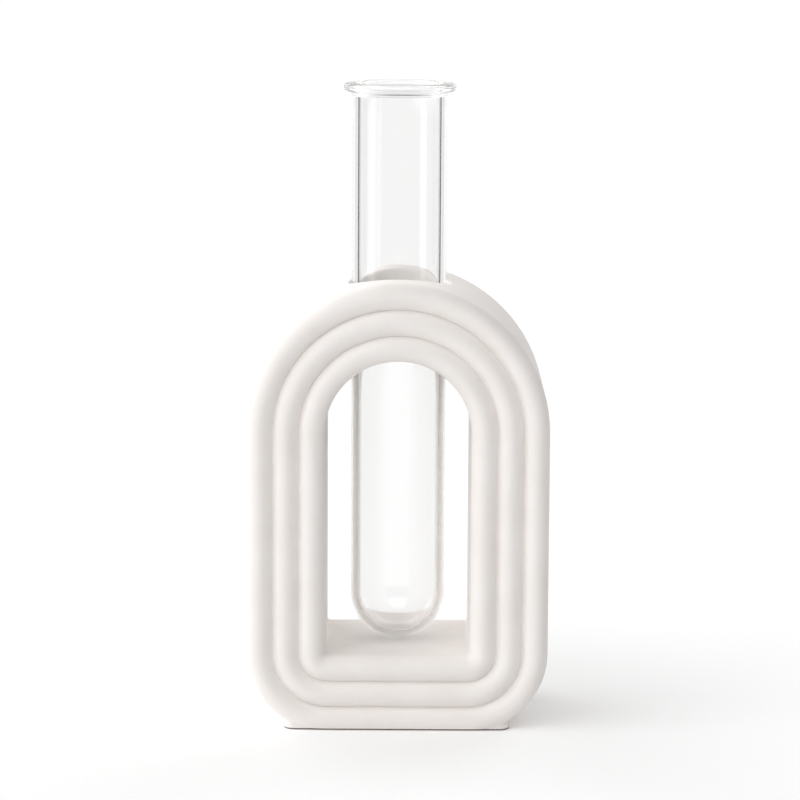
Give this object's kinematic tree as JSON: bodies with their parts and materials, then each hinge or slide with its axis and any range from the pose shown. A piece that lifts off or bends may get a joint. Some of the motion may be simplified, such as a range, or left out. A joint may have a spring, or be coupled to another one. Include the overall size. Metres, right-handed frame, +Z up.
{
  "type": "glass flower tube in arch stand",
  "caption": "Free-standing bud vase: a clear round-bottomed glass tube with a flared lip stands upright through the crown of a ribbed matte ceramic arch.",
  "frame": {"origin": "centre of the foot's underside, on the table", "axes": "+Z up along the glass tube, +X across the arch's two legs, -Y towards the viewer of the picture; both ribbed faces look along Y"},
  "size_m": [0.08, 0.0498, 0.1703],
  "materials": {
    "matte_ceramic": "matte, warm off-white, unglazed",
    "clear_glass": "clear, fire-polished"
  },
  "bodies": {
    "stand": {"arch_stand": "matte_ceramic"},
    "tube": {"glass_tube": "clear_glass"}
  },
  "joints": [
    {"name": "tube_lift", "type": "slide", "parent": "stand", "child": "tube", "axis": [0, 0, 1], "range_m": [0, 0.11]}
  ]
}
